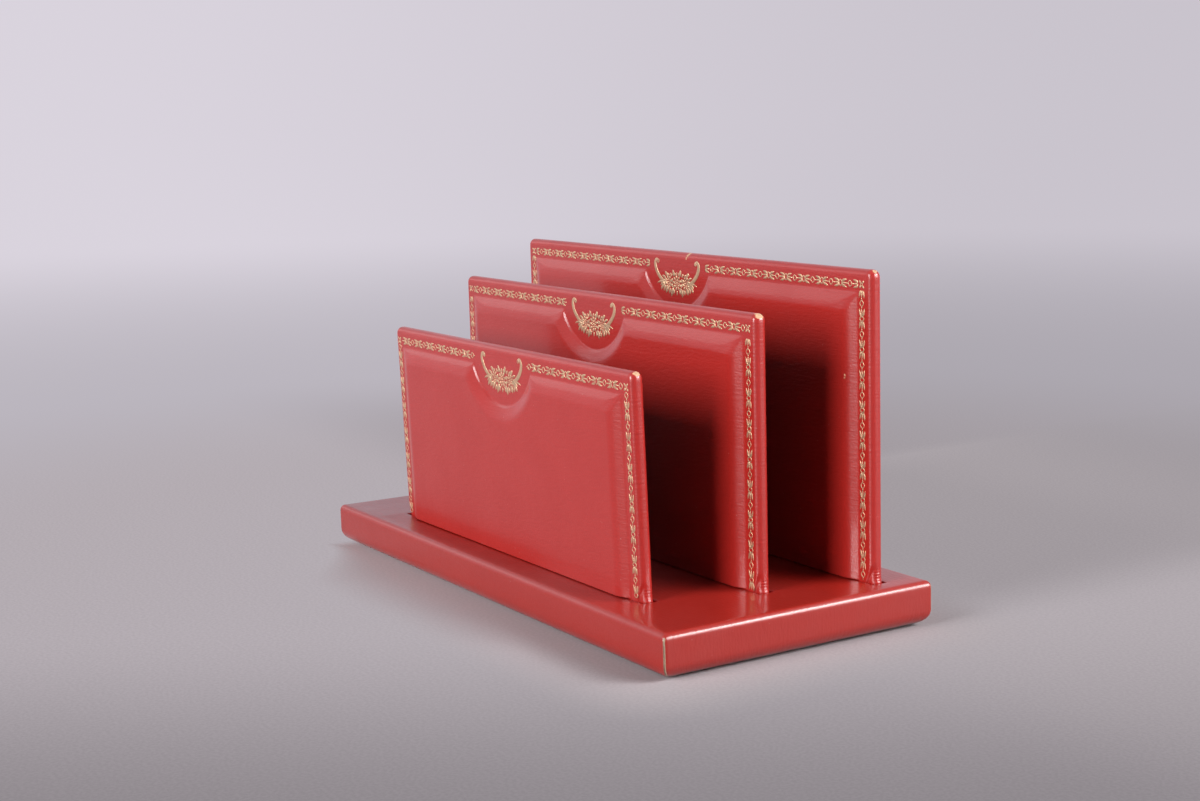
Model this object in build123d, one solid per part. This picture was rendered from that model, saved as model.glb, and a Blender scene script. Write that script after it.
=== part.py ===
from build123d import *
import math
import os

# Leather letter holder: three upright covered leaves, rising towards the rear, stand in grooves in a flat
# covered base. X runs along the base, -Y is the front, +Z is up, and the origin is at the middle of the
# underside. Every leaf is a thin board with a bevelled card on its front, under one sheet of leather that is
# turned in at the back and hidden there by a lining. All lengths are in millimetres.

# Base, sizes over its leather
BASE_LENGTH = 250.0
BASE_DEPTH = 109.0
BASE_HEIGHT = 15.9
BASE_LEATHER = 1.0
BASE_BOARD_TOP_ROUND = 1.0
BASE_BOARD_UNDER_ROUND = 4.0
CORNER_SEAM = 0.4

# Felt under the base
FELT_THICKNESS = 0.8
FELT_MARGIN = 2.0
FELT_LAP = 5.0

# Leaves, sizes over their leather, rises counted from the top of the base, setback from its long edges
FRONT_WIDTH = 178.5
MIDDLE_WIDTH = 206.0
REAR_WIDTH = 233.5
FRONT_RISE = 76.5
MIDDLE_RISE = 93.4
REAR_RISE = 106.2
LEAF_SETBACK = 17.3
FRONT_LEAN_DEGREES = 1.5

# Layers of a leaf
LEAF_BOARD = 3.4
LEAF_LEATHER = 0.8
LEAF_LINING = 0.5
LEAF_BOARD_EDGE_ROUND = 1.1
LEAF_BOARD_CORNER_ROUND = 1.8
LINING_MARGIN = 1.1
LINING_LAP = 7.0

# Bevelled card with its thumb notch
CARD_THICKNESS = 2.2
CARD_BEVEL = 5.0
CARD_TOP_BEVEL = 3.6
CARD_SIDE_INSET = 6.9
CARD_TOP_INSET = 7.8
CARD_FOOT_PLAY = 0.3
NOTCH_RADIUS = 24.4
NOTCH_CENTRE_RISE = 3.1

# Grooves that hold the leaves
GROOVE_DEPTH = 8.0
GROOVE_SIDE_PLAY = 0.2
GROOVE_END_PLAY = 1.2

# Every cut runs past the face it opens by this much
OVERRUN = 5.0

# Sizes that follow from those above
LEAF_PITCH = BASE_DEPTH / 2 - LEAF_SETBACK
UNDERSIDE = FELT_THICKNESS
BOARD_UNDERSIDE = UNDERSIDE + BASE_LEATHER
BASE_UNDER_ROUND = BASE_BOARD_UNDER_ROUND + BASE_LEATHER
FELT_INSET = BASE_UNDER_ROUND + FELT_MARGIN
TURN_UNDER = FELT_INSET + FELT_LAP
EDGE_ROUND = LEAF_BOARD_EDGE_ROUND + LEAF_LEATHER
LINING_INSET = EDGE_ROUND + LINING_MARGIN
TURN_IN = LINING_INSET + LINING_LAP
BOARD_FACE = LEAF_BOARD / 2
LEATHER_FACE = BOARD_FACE + LEAF_LEATHER
LINING_FACE = LEATHER_FACE + LEAF_LINING
BEVEL_ANGLE = math.atan2(CARD_THICKNESS, CARD_BEVEL)

# Name, width, rise, place along Y and forward lean of each leaf
LEAVES = [
    ("front_leaf", FRONT_WIDTH, FRONT_RISE, -LEAF_PITCH, FRONT_LEAN_DEGREES),
    ("middle_leaf", MIDDLE_WIDTH, MIDDLE_RISE, 0, 0),
    ("rear_leaf", REAR_WIDTH, REAR_RISE, LEAF_PITCH, 0),
]


def block(x_half, y_low, y_high, z_low, z_high):
    """A box centred on X, between two depths and two heights."""
    box = Box(2 * x_half, y_high - y_low, z_high - z_low)
    return Pos(0, (y_low + y_high) / 2, (z_low + z_high) / 2) * box


def mitred_block(length, depth, z_low, z_high, top_round, under_round):
    """A slab with rounded top and bottom edges, which meet in mitres at its upright corners."""
    height = z_high - z_low

    def profile(breadth):
        outline = Rectangle(breadth, height)
        outline = fillet(outline.vertices().group_by(Axis.Y)[-1], top_round)
        return fillet(outline.vertices().group_by(Axis.Y)[0], under_round)

    along_x = extrude(Plane.YZ * profile(depth), length / 2 + OVERRUN, both=True)
    along_y = extrude(Plane.XZ * profile(length), depth / 2 + OVERRUN, both=True)
    return Pos(0, 0, (z_low + z_high) / 2) * (along_x & along_y)


def leaf_place(y, lean):
    """Puts a leaf, drawn about the top of the base, in its groove, leaning forward by its angle."""
    return Pos(0, y, BASE_HEIGHT) * Rot(lean, 0, 0)


def upright_slab(width, rise, face, corner_round, edge_round):
    """A leaf's slab, from the groove's floor up, with rounded top corners and rounded sides and top."""
    outline = Rectangle(width, rise + GROOVE_DEPTH)
    outline = fillet(outline.vertices().group_by(Axis.Y)[-1], corner_round)
    middle = Pos(0, 0, (rise - GROOVE_DEPTH) / 2)
    slab = middle * extrude(Plane.XZ * outline, face, both=True)
    faces = slab.faces().sort_by(Axis.Y)
    rim = faces[0].edges() + faces[-1].edges()
    foot = slab.bounding_box().min.Z
    return fillet([edge for edge in rim if edge.center().Z > foot + edge_round], edge_round)


def card_outline(width, rise, foot, y, inset):
    """The card's outline at depth y, moved inwards by inset, which the steeper bevel along the top takes in
    proportion: a plate with a round bite in its top edge."""
    side = width / 2 - CARD_SIDE_INSET - inset
    top = rise - CARD_TOP_INSET - inset * CARD_TOP_BEVEL / CARD_BEVEL
    centre = rise + NOTCH_CENTRE_RISE
    radius = NOTCH_RADIUS + inset
    bite = math.sqrt(radius**2 - (centre - top) ** 2)
    left = Polyline((-side, y, foot), (-side, y, top), (-bite, y, top))
    notch = ThreePointArc((-bite, y, top), (0, y, centre - radius), (bite, y, top))
    right = Polyline((bite, y, top), (side, y, top), (side, y, foot), (-side, y, foot))
    return Face(Wire(left.edges() + notch.edges() + right.edges()))


def bevelled_plate(width, rise, foot, back, growth):
    """A raised plate whose sloping rim falls to the depth back; growth widens it for a skin laid over it."""
    rim = card_outline(width, rise, foot, -back, -growth)
    flat = card_outline(width, rise, foot, -back - CARD_THICKNESS, CARD_BEVEL - growth)
    return Part(loft([rim, flat], ruled=True).wrapped)


def make_leaf(width, rise, lean):
    """The board, raised card, leather and lining of one leaf."""
    card_front = LEATHER_FACE + CARD_THICKNESS
    card_foot = CARD_FOOT_PLAY + card_front * math.tan(math.radians(lean))
    board = upright_slab(
        width - 2 * LEAF_LEATHER,
        rise - LEAF_LEATHER,
        BOARD_FACE,
        LEAF_BOARD_CORNER_ROUND,
        LEAF_BOARD_EDGE_ROUND,
    )
    card = bevelled_plate(width, rise, card_foot, BOARD_FACE, 0)
    skin_growth = LEAF_LEATHER * math.tan(BEVEL_ANGLE / 2)
    cover = upright_slab(width, rise, LEATHER_FACE, LEAF_BOARD_CORNER_ROUND + LEAF_LEATHER, EDGE_ROUND)
    cover += bevelled_plate(width, rise, card_foot, LEATHER_FACE, skin_growth)
    pocket = block(width / 2 - TURN_IN, BOARD_FACE, LEATHER_FACE, -GROOVE_DEPTH, rise - TURN_IN)
    sheet = block(width / 2 - LINING_INSET, LEATHER_FACE, LINING_FACE, -GROOVE_DEPTH, rise - LINING_INSET)
    leather = cover - board - card - pocket
    return {"board": board, "raised_card": card, "leather": leather, "lining": pocket + sheet}


def groove(width):
    """The space that a leaf's foot takes in the base, with its play."""
    reach = width / 2 + GROOVE_END_PLAY
    return block(reach, -LEATHER_FACE - GROOVE_SIDE_PLAY, LINING_FACE + GROOVE_SIDE_PLAY, -GROOVE_DEPTH, OVERRUN)


def corner_seams():
    """Slits through the leather at the four upright corners, where its cut edges meet."""
    z_low = UNDERSIDE - OVERRUN
    z_high = BASE_HEIGHT - BASE_BOARD_TOP_ROUND - BASE_LEATHER
    slit = block(OVERRUN, -CORNER_SEAM / 2, CORNER_SEAM / 2, z_low, z_high)
    slits = Part()
    for x_side in (-1, 1):
        for y_side in (-1, 1):
            corner = Pos(x_side * BASE_LENGTH / 2, y_side * BASE_DEPTH / 2, 0)
            slits += corner * Rot(0, 0, 45 * x_side * y_side) * slit
    return slits


def make_base(grooves):
    """The grooved board, the leather over it and the felt beneath it."""
    board = mitred_block(
        BASE_LENGTH - 2 * BASE_LEATHER,
        BASE_DEPTH - 2 * BASE_LEATHER,
        BOARD_UNDERSIDE,
        BASE_HEIGHT - BASE_LEATHER,
        BASE_BOARD_TOP_ROUND,
        BASE_BOARD_UNDER_ROUND,
    )
    cover = mitred_block(
        BASE_LENGTH,
        BASE_DEPTH,
        UNDERSIDE,
        BASE_HEIGHT,
        BASE_BOARD_TOP_ROUND + BASE_LEATHER,
        BASE_UNDER_ROUND,
    )
    window_depth = BASE_DEPTH / 2 - TURN_UNDER
    window = block(BASE_LENGTH / 2 - TURN_UNDER, -window_depth, window_depth, UNDERSIDE, BOARD_UNDERSIDE)
    felt_depth = BASE_DEPTH / 2 - FELT_INSET
    sheet = block(BASE_LENGTH / 2 - FELT_INSET, -felt_depth, felt_depth, 0, UNDERSIDE)
    leather = cover - board - window - grooves - corner_seams()
    return {"board": board - grooves, "leather": leather, "felt": window + sheet}


def write(prefix, pieces):
    """Writes each piece as a node named after what it belongs to."""
    for name, piece in pieces.items():
        export_step(piece, f"parts/{prefix}_{name}.step")


os.makedirs("parts", exist_ok=True)
all_grooves = Part()
for leaf, width, rise, y, lean in LEAVES:
    place = leaf_place(y, lean)
    write(leaf, {name: place * piece for name, piece in make_leaf(width, rise, lean).items()})
    all_grooves += place * groove(width)
write("base", make_base(all_grooves))
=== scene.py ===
"""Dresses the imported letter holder: red leather over its leaves and base, linings, and gilt tooling."""
import math
from dataclasses import dataclass

import bpy
import numpy as np
from bpy.props import FloatProperty, FloatVectorProperty, PointerProperty
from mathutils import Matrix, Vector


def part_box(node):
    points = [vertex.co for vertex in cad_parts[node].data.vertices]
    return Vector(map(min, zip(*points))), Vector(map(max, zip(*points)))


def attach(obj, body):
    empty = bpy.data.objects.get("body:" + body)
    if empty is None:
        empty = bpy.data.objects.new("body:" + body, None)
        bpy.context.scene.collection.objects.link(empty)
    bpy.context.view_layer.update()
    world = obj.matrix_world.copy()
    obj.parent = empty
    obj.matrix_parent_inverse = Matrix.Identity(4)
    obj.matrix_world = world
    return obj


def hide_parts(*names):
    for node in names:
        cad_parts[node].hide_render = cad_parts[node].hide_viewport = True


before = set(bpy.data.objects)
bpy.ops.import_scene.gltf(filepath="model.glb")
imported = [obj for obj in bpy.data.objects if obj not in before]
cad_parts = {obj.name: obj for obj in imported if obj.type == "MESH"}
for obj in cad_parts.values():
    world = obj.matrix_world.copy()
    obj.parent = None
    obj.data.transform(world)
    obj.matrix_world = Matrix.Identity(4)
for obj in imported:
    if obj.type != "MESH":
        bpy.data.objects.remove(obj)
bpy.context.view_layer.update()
BASE_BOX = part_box("base_leather")
BASE_TOP = BASE_BOX[1].z

bl_info = {
    "name": "Letter holder dressing",
    "version": (1, 0, 0),
    "blender": (4, 5, 0),
    "location": "View3D > Sidebar > Letter holder",
    "description": "Builds the leather, linings and gilding of a three-leaf letter holder over its solids",
    "category": "Object",
}

MM = 0.001
TINY = 1e-12
LEAF_NAMES = ("front_leaf", "middle_leaf", "rear_leaf")
# How worn the upper corners of each leaf are
CORNER_WEAR = {"front_leaf": 1.0, "middle_leaf": 1.35, "rear_leaf": 0.85}
# How far the side borders of each leaf stand from its edges
SIDE_LINES = {"front_leaf": 3.6 * MM, "middle_leaf": 4.2 * MM, "rear_leaf": 4.9 * MM}
# Where a bead of each leaf's roll falls: right and left of the top edge's middle, and below the top edge
BEADS = {
    "front_leaf": (31.2 * MM, 32.8 * MM, 7.7 * MM),
    "middle_leaf": (34.6 * MM, 28.9 * MM, 12.6 * MM),
    "rear_leaf": (23.7 * MM, 33.5 * MM, 11.3 * MM),
}
# Chips in a leaf: their places right of its middle and below its top edge, and their reach
CHIPS = {
    "rear_leaf": (
        (7.4 * MM, 0.6 * MM, 0.9 * MM),
        (6.8 * MM, 1.9 * MM, 0.5 * MM),
        (104.9 * MM, 36.0 * MM, 0.8 * MM),
    ),
}
# Along a foot, the painted shade of less polish ends this far right of the middle,
# and fades over this length before that
DULL_END = 45 * MM
DULL_FADE = 40 * MM
# Wear of a leaf's left corner, as a share of the right one's
LEFT_WEAR = 0.8
# Slow waves in the leather fade out over this distance from an edge
WAVE_FADE = 4 * MM
# Within this distance of a leaf's top, the grain is carried on over its rim
GRAIN_WRAP = 3 * MM
# Gap between the grid lines on each side of a slit's edge
SLIT_GAP = 0.06 * MM
# Section of a stroke of gilding: shares of its half width, and heights as shares of the lift
STROKE_ACROSS = (-1, -0.72, 0.72, 1)
STROKE_HEIGHTS = (-0.5, 1.0, 1.0, -0.5)
# Colour of the specks of dust on the leather
DUST = (0.62, 0.45, 0.42)
# Width of the camera's frame, in millimetres
FRAME_WIDTH = 36.0
# Lights: name, place, aim, width and height; their powers are settings of the same names
LIGHTS = (
    ("key", (0.18, -2.44, 0.94), (0, 0, 0.05), 1.20, 1.55),
    ("side", (1.30, 1.00, 0.82), (0, 0, 0.03), 1.20, 0.90),
    ("left", (-1.19, -0.63, 0.64), (0, 0, 0.05), 0.80, 0.50),
    ("spark", (0.82, 0.63, 0.63), (0, 0, 0.03), 0.25, 0.25),
    ("top", (-0.10, 0.10, 1.30), (0, 0, 0.05), 1.2, 1.2),
)


def length(name, millimetres, description):
    """A length property, with its default written in millimetres and kept in metres."""
    metres = millimetres * MM
    return FloatProperty(name=name, description=description, default=metres, unit="LENGTH", precision=5)


def number(name, default, description):
    """A plain number property."""
    return FloatProperty(name=name, description=description, default=default, precision=4)


def angle(name, degrees, description):
    """An angle property, with its default written in degrees and kept in radians."""
    return FloatProperty(name=name, description=description, default=math.radians(degrees), subtype="ANGLE")


def colour(name, default, description):
    """A linear colour property."""
    return FloatVectorProperty(
        name=name, description=description, default=default, subtype="COLOR", min=0, max=1
    )


def power(name, watts, description):
    """A property for a light's power."""
    return FloatProperty(name=name, description=description, default=watts, unit="POWER")


class LeafSizes(bpy.types.PropertyGroup):
    """Sizes of the leather over a leaf. Softness is counted in widths of the bevel."""

    front_lean: angle("Front lean", 1.5, "Forward lean of the front leaf")
    face: length("Half thickness", 2.5, "From a leaf's middle plane to its leather's outer face")
    edge_round: length("Edge round", 2.2, "Radius of the soft rim round the leaf")
    corner_round: length("Corner round", 2.6, "Radius of the two upper corners, seen from the front")
    relief: length("Panel relief", 2.2, "Height of the raised panel")
    bevel: length("Panel bevel", 5.0, "Width of the panel's sloping rim at its sides and round the notch")
    top_bevel: length("Panel top bevel", 3.6, "Width of the panel's sloping rim along its top")
    side_inset: length("Panel side inset", 6.73, "From the leaf's side edge to the foot of the bevel")
    top_inset: length("Panel top inset", 7.68, "From the leaf's top edge to the foot of the bevel")
    panel_foot: length("Panel foot", 0.10, "Height over the base at which the panel begins")
    panel_edge: length("Panel edge", 0.35, "Height over which it climbs there")
    notch_radius: length("Notch radius", 24.22, "Radius of the thumb notch at the foot of its bevel")
    notch_rise: length("Notch centre rise", 3.1, "Height of the notch's centre over the leaf's top edge")
    notch_step: number("Notch step", 0.20, "Share of the relief that the notch's rim climbs in one step")
    notch_step_width: length("Notch step width", 0.8, "Width of that step")
    corner_foot: number("Corner foot", 0.273, "Softness of the panel's corners low down")
    corner_ease: number("Corner ease", 0.78, "How much softer they are at the shoulder")
    bite_foot: number("Bite foot", 0.18, "Softness of the corners by the notch low down")
    bite_ease: number("Bite ease", 0.6, "How much softer they are at the shoulder")
    foot_ease: number("Crease softness", 0.10, "Softness of the crease at the bevel's foot")
    shoulder_ease: number("Notch shoulder", 0.26, "Softness of the shoulder round the notch")
    side_ease: number("Side shoulder", 0.44, "Softness of the shoulder along the panel's sides")
    top_ease: number("Top shoulder", 0.85, "Softness of the shoulder along the panel's top")
    groove: length("Groove depth", 8.0, "Depth of the groove that the leaf stands in")
    swell: length("Panel swell", 0.05, "Height of the slow waves in the glued leather")
    tuck: number("Foot tuck", 0.29, "Share of the thickness that is drawn back at the ends of the foot")
    fold_reach: length("Fold reach", 3.2, "From the leaf's side edge to the fold by the drawn-in foot")
    fold_height: length("Fold height", 7.5, "Height over the base at which that fold runs out into the rim")
    fold_width: length("Fold width", 1.1, "Width over which the leather turns at that fold")
    foot_flare: length("Foot flare", 0.5, "How far the gathered leather swells out at the ends of the foot")
    flare_height: length("Flare height", 1.1, "Height over which that swelling fades")
    gather_depth: length("Gather depth", 1.2, "Distance from the leaf's sides over which it fades inwards")
    crease_height: length("Crease height", 0.09, "Height of the small creases in the gathered leather")
    crease_wave: length("Crease wave", 0.16, "Height over which the creases' wave turns by one radian")
    crease_rise: length("Crease rise", 3.0, "Height of the middle of the creases over the base")
    crease_reach: length("Crease reach", 1.8, "Height over which they fade above and below it")
    corner_wear: length("Corner wear", 1.3, "Reach of the worn spots on the upper corners")
    wear_inset: length("Wear inset", 0.9, "From the leaf's side edges to the middles of those spots")
    wear_drop: length("Wear drop", 0.5, "From the leaf's top edge to their middles")
    # Painted shade: polish taken off the foot darkens it in place of its weaker reflection
    painted_dullness: number("Foot dullness", 0.62, "Share of the polish that is lost at the foot")
    dull_reach: length("Dull reach", 8.0, "Height up to which the foot is dull")
    lining_inset: length("Lining inset", 3.0, "From the leaf's edges to the lining at the back")
    lining: length("Lining thickness", 0.5, "Thickness of the lining")
    lining_sink: length("Lining sink", 0.05, "Depth of the lining's inner face in the leather")
    lining_round: length("Lining edge round", 0.45, "Width of the lining's eased edge")
    lining_corner: length("Lining corner round", 1.6, "Radius of the lining's upper corners")
    lining_swell: length("Lining swell", 0.02, "Height of the unevenness from the glue")


class BaseSizes(bpy.types.PropertyGroup):
    """Sizes of the leather over the base."""

    top_round: length("Top edge round", 2.4, "Radius of the base's top edge")
    under_round: length("Under edge round", 5.0, "Radius of the base's lower edge")
    corner_round: length("Corner round", 1.5, "Radius of the base's upright corners")
    turn_under: length("Turn under", 12.0, "How far the leather runs in under the base")
    slit_front: length("Slit front", 2.58, "From a leaf's middle plane to the front of its slit")
    slit_back: length("Slit back", 3.2, "From a leaf's middle plane to the back of its slit")
    slit_end: length("Slit end play", 0.55, "Length of the slit past each end of the leaf")
    lip: length("Slit lip", 0.30, "Radius of the leather's lip round a slit")
    seam_width: length("Seam half width", 0.70, "Width of raw edge on each side of a corner seam")
    seam_depth: length("Seam depth", 0.35, "Depth of the corner seam")
    seam_reach: length("Seam reach", 0.25, "Distance over which the seam's hollow fades out")
    seam_start: length("Seam start", 0.4, "From the base's top down to where raw edges begin to show")
    seam_fade: length("Seam fade", 1.2, "Height over which they come to show fully")
    corner_wear: length("Corner wear", 3.0, "Reach of the faint wear on the top's corners")
    corner_scuff: length("Corner scuff", 0.8, "Reach of the strong wear at their tips")
    # Painted shade: polish taken off the strip before the front leaf darkens it in place of its reflection
    painted_dullness: number("Strip dullness", 0.45, "Share of the polish that is lost in front of the front leaf")
    dull_depth: length("Dull depth", 9.0, "Depth of that dull strip")
    dull_reach: length("Dull reach", 3.0, "Distance over which it fades out round its edges")
    swell: length("Top swell", 0.06, "Height of the slow waves in the glued leather")


class GiltSizes(bpy.types.PropertyGroup):
    """Sizes of the gilt tooling."""

    top_line: length("Top line", 5.0, "From a leaf's top edge to the middle of its border")
    notch_stop: length("Notch stop", 18.4, "Half the gap that the top border leaves for the notch")
    repeat: length("Repeat", 10.25, "Length of one repeat of the border's roll")
    corner_gap: length("Corner gap", 1.5, "From a corner's leaf to where the border's runs begin")
    foot_gap: length("Foot gap", 0.5, "From the base to where the side borders begin")
    lift: length("Lift", 0.05, "Height of the gilding over the leather")


class Finishes(bpy.types.PropertyGroup):
    """Colours of the finishes, linear."""

    leather: colour("Leather", (0.39, 0.0185, 0.0140), "Polished red leather")
    leather_dark: colour("Leather in the grain", (0.33, 0.0130, 0.0105), "Leather deep in its grain")
    # Painted shade: the lining is near-black so that little light bounces into the gaps between the leaves
    lining: colour("Lining", (0.045, 0.003, 0.004), "Lining leather")
    raw: colour("Raw leather", (0.62, 0.36, 0.21), "Rubbed leather")
    seam: colour("Seam", (0.36, 0.25, 0.17), "Cut edges of the leather in the seams of the base")
    gold: colour("Gold", (0.67, 0.45, 0.28), "Gold leaf")
    gold_rubbed: colour("Rubbed gold", (0.40, 0.15, 0.095), "Gold leaf rubbed thin over the leather")
    wood: colour("Wood", (0.50, 0.33, 0.18), "Boards under the leather")
    card: colour("Card", (0.42, 0.36, 0.28), "Card under the panels")
    felt: colour("Felt", (0.12, 0.02, 0.02), "Felt under the base")
    # Painted shade: the base's leather is darker than the leaves' for the dimmer light low down; its lower
    # blue is its own hue
    base_painted_shade: colour("Base shade", (0.87, 0.87, 0.70), "Shares of the leaves' colour in the base's leather")
    floor: colour("Floor", (0.50, 0.455, 0.475), "Floor close to the holder")
    # Painted light: the tone that camera and glossy rays meet on the floor further out, which hides the side
    # light's shadow
    floor_painted_glow: colour("Steady floor", (0.455, 0.412, 0.442), "Floor further out, as it is seen")
    backdrop: colour("Backdrop", (0.652, 0.612, 0.678), "Pale distance")


class StageSettings(bpy.types.PropertyGroup):
    """Camera and light."""

    camera: FloatVectorProperty(
        name="Camera",
        description="Camera place",
        default=(0.592214, -0.350972, 0.173836),
        subtype="TRANSLATION",
    )
    yaw: angle("Yaw", -55.8331, "Camera's turn from +Y towards +X")
    pitch: angle("Pitch", 9.4227, "Camera's tilt downwards")
    roll: angle("Roll", -1.0678, "Camera's turn about its own line of sight")
    lens: number("Lens", 55.761, "Focal length in millimetres on a 36 mm frame")
    shift_x: number("Shift across", -0.09582, "Sideways shift of the lens, as a share of the frame's width")
    shift_y: number("Shift up", 0.01789, "Upward shift of the lens, as a share of the frame's width")
    key: power("Key", 84, "Power of the large soft light in front")
    side: power("Side", 40, "Power of the broad light at the right")
    left: power("Left", 0.9, "Power of the broad panel at the left")
    spark: power("Spark", 4, "Power of the small light at the right")
    top: power("Top", 0.35, "Power of the broad light overhead")
    ambient: number("Ambient", 0.009, "Strength of the light from all round")


class LetterHolder(bpy.types.PropertyGroup):
    """Everything that a user would change."""

    leaf: PointerProperty(type=LeafSizes)
    base: PointerProperty(type=BaseSizes)
    gilt: PointerProperty(type=GiltSizes)
    finish: PointerProperty(type=Finishes)
    stage: PointerProperty(type=StageSettings)


@dataclass
class Leaf:
    """One leaf of the frame: its name, width, rise over the base, place along Y, forward lean, how worn its
    corners are, its chips, how far its side borders stand from its edges, and where beads of its roll
    fall."""

    name: str
    width: float
    rise: float
    y: float
    lean: float
    wear: float
    chips: tuple
    side_line: float
    beads: tuple

    def point(self, x, depth, up):
        """Points from distances along the leaf, behind its middle plane and up its face from the base's top:
        the leaf's upright plane is turned forward about the line where it meets the base."""
        cos, sin = math.cos(self.lean), math.sin(self.lean)
        y = self.y + depth * cos - up * sin
        z = BASE_TOP + depth * sin + up * cos
        return np.stack(np.broadcast_arrays(x, y, z), -1)


def leaves(sizes):
    """The three leaves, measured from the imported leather: the upright ones give the spacing of all three."""
    boxes = {name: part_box(name + "_leather") for name in LEAF_NAMES}
    reach = sizes.face + sizes.relief
    middle = boxes["middle_leaf"][0].y + reach
    pitch = boxes["rear_leaf"][0].y + reach - middle
    found = []
    for step, name in enumerate(LEAF_NAMES):
        low, high = boxes[name]
        lean = sizes.front_lean if name == "front_leaf" else 0.0
        rise, y = (high.z - BASE_TOP) / math.cos(lean), middle + (step - 1) * pitch
        marks = CORNER_WEAR[name], CHIPS.get(name, ()), SIDE_LINES[name], BEADS[name]
        found.append(Leaf(name, high.x - low.x, rise, y, lean, *marks))
    return found


def lines(start, *stretches):
    """Grid lines from a start through stretches, each given as its end and the gap between its lines."""
    parts = [np.array([start])]
    for end, gap in stretches:
        begin = parts[-1][-1]
        parts.append(np.linspace(begin, end, max(1, round(abs(end - begin) / gap)) + 1)[1:])
    return np.concatenate(parts)


def rim_lines(radius, count):
    """Distances from an edge that are evenly spaced round its quarter-circle rim."""
    return radius * (1 - np.cos(np.linspace(0, math.pi / 2, count)))


def mirrored(half, from_edge):
    """Lines from one edge to the other, from distances that run from an edge to the middle."""
    return np.concatenate([from_edge - half, (half - from_edge)[::-1][1:]])


def smooth_min(a, b, reach):
    """The smaller of two values, with the corner between them rounded off over a reach."""
    mix = np.clip(0.5 + 0.5 * (b - a) / reach, 0, 1)
    return b + (a - b) * mix - reach * mix * (1 - mix)


def smooth_step(value):
    """A smooth rise from 0 to 1 while the value runs from 0 to 1."""
    t = np.clip(value, 0, 1)
    return t * t * (3 - 2 * t)


def bump(distance, reach):
    """A bell that is 1 at distance 0 and fades over a reach."""
    return np.exp(-((distance / reach) ** 2))


def quarter_rim(inset, radius):
    """Height of a quarter-circle rim at a distance inside its edge, 0 at the edge and the radius past it."""
    return np.sqrt(np.maximum(radius**2 - (radius - np.minimum(inset, radius)) ** 2, 0))


def round_corners(x, y, half_x, half_y, radius, both_ends):
    """Moves a rectangle's grid so that its corners are round: in a corner's square, a point keeps its
    direction from the square's inner corner, and its larger coordinate becomes its distance from there."""
    a = np.abs(x) - (half_x - radius)
    b = (np.abs(y) if both_ends else y) - (half_y - radius)
    in_corner = (a > 0) & (b > 0)
    scale = np.where(in_corner, np.maximum(a, b) / np.maximum(np.hypot(a, b), TINY), 1.0)
    round_x = np.where(in_corner, np.sign(x) * (half_x - radius + a * scale), x)
    round_y = np.where(in_corner, (np.sign(y) if both_ends else 1) * (half_y - radius + b * scale), y)
    return round_x, round_y


def grid_quads(index):
    """The quads of a grid of vertex numbers."""
    corners = (index[:-1, :-1], index[:-1, 1:], index[1:, 1:], index[1:, :-1])
    return np.stack(corners, -1).reshape(-1, 4)


def grid_rim(index):
    """The vertex numbers round a grid, once round."""
    return np.concatenate([index[0, :-1], index[:-1, -1], index[-1, :0:-1], index[:0:-1, 0]])


def band_quads(rings):
    """The quads between neighbours in a stack of closed rings of vertex numbers."""
    near, far = rings[:-1], rings[1:]
    return np.stack([near, far, np.roll(far, -1, 1), np.roll(near, -1, 1)], -1).reshape(-1, 4)


def cap_quads(ring):
    """The quads that close a ring of vertex numbers, between pairs that face each other across it."""
    there = np.arange(len(ring) // 2 - 1)
    back = len(ring) - 1 - there
    return np.stack([ring[there], ring[back], ring[back - 1], ring[there + 1]], -1)


def make_piece(name, points, quads, values, material, slot, replaces=()):
    """A smooth mesh piece that rides on the holder, from places, quads and named values at its vertices."""
    mesh = bpy.data.meshes.new(name)
    mesh.vertices.add(len(points))
    mesh.vertices.foreach_set("co", np.ascontiguousarray(points, np.float32).ravel())
    mesh.loops.add(quads.size)
    mesh.loops.foreach_set("vertex_index", np.ascontiguousarray(quads, np.int32).ravel())
    mesh.polygons.add(len(quads))
    mesh.polygons.foreach_set("loop_start", np.arange(0, quads.size, 4, dtype=np.int32))
    for key, array in values.items():
        kind, field = ("FLOAT_VECTOR", "vector") if array.ndim == 2 else ("FLOAT", "value")
        layer = mesh.attributes.new(key, kind, "POINT")
        layer.data.foreach_set(field, np.ascontiguousarray(array, np.float32).ravel())
    mesh.update(calc_edges=True)
    if mesh.validate():
        raise RuntimeError(f"{name} has faces that Blender can't keep")
    mesh.shade_smooth()
    mesh.materials.append(material)
    piece = bpy.data.objects.new(name, mesh)
    bpy.context.scene.collection.objects.link(piece)
    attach(piece, "root")
    if replaces:
        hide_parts(*replaces)


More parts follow.
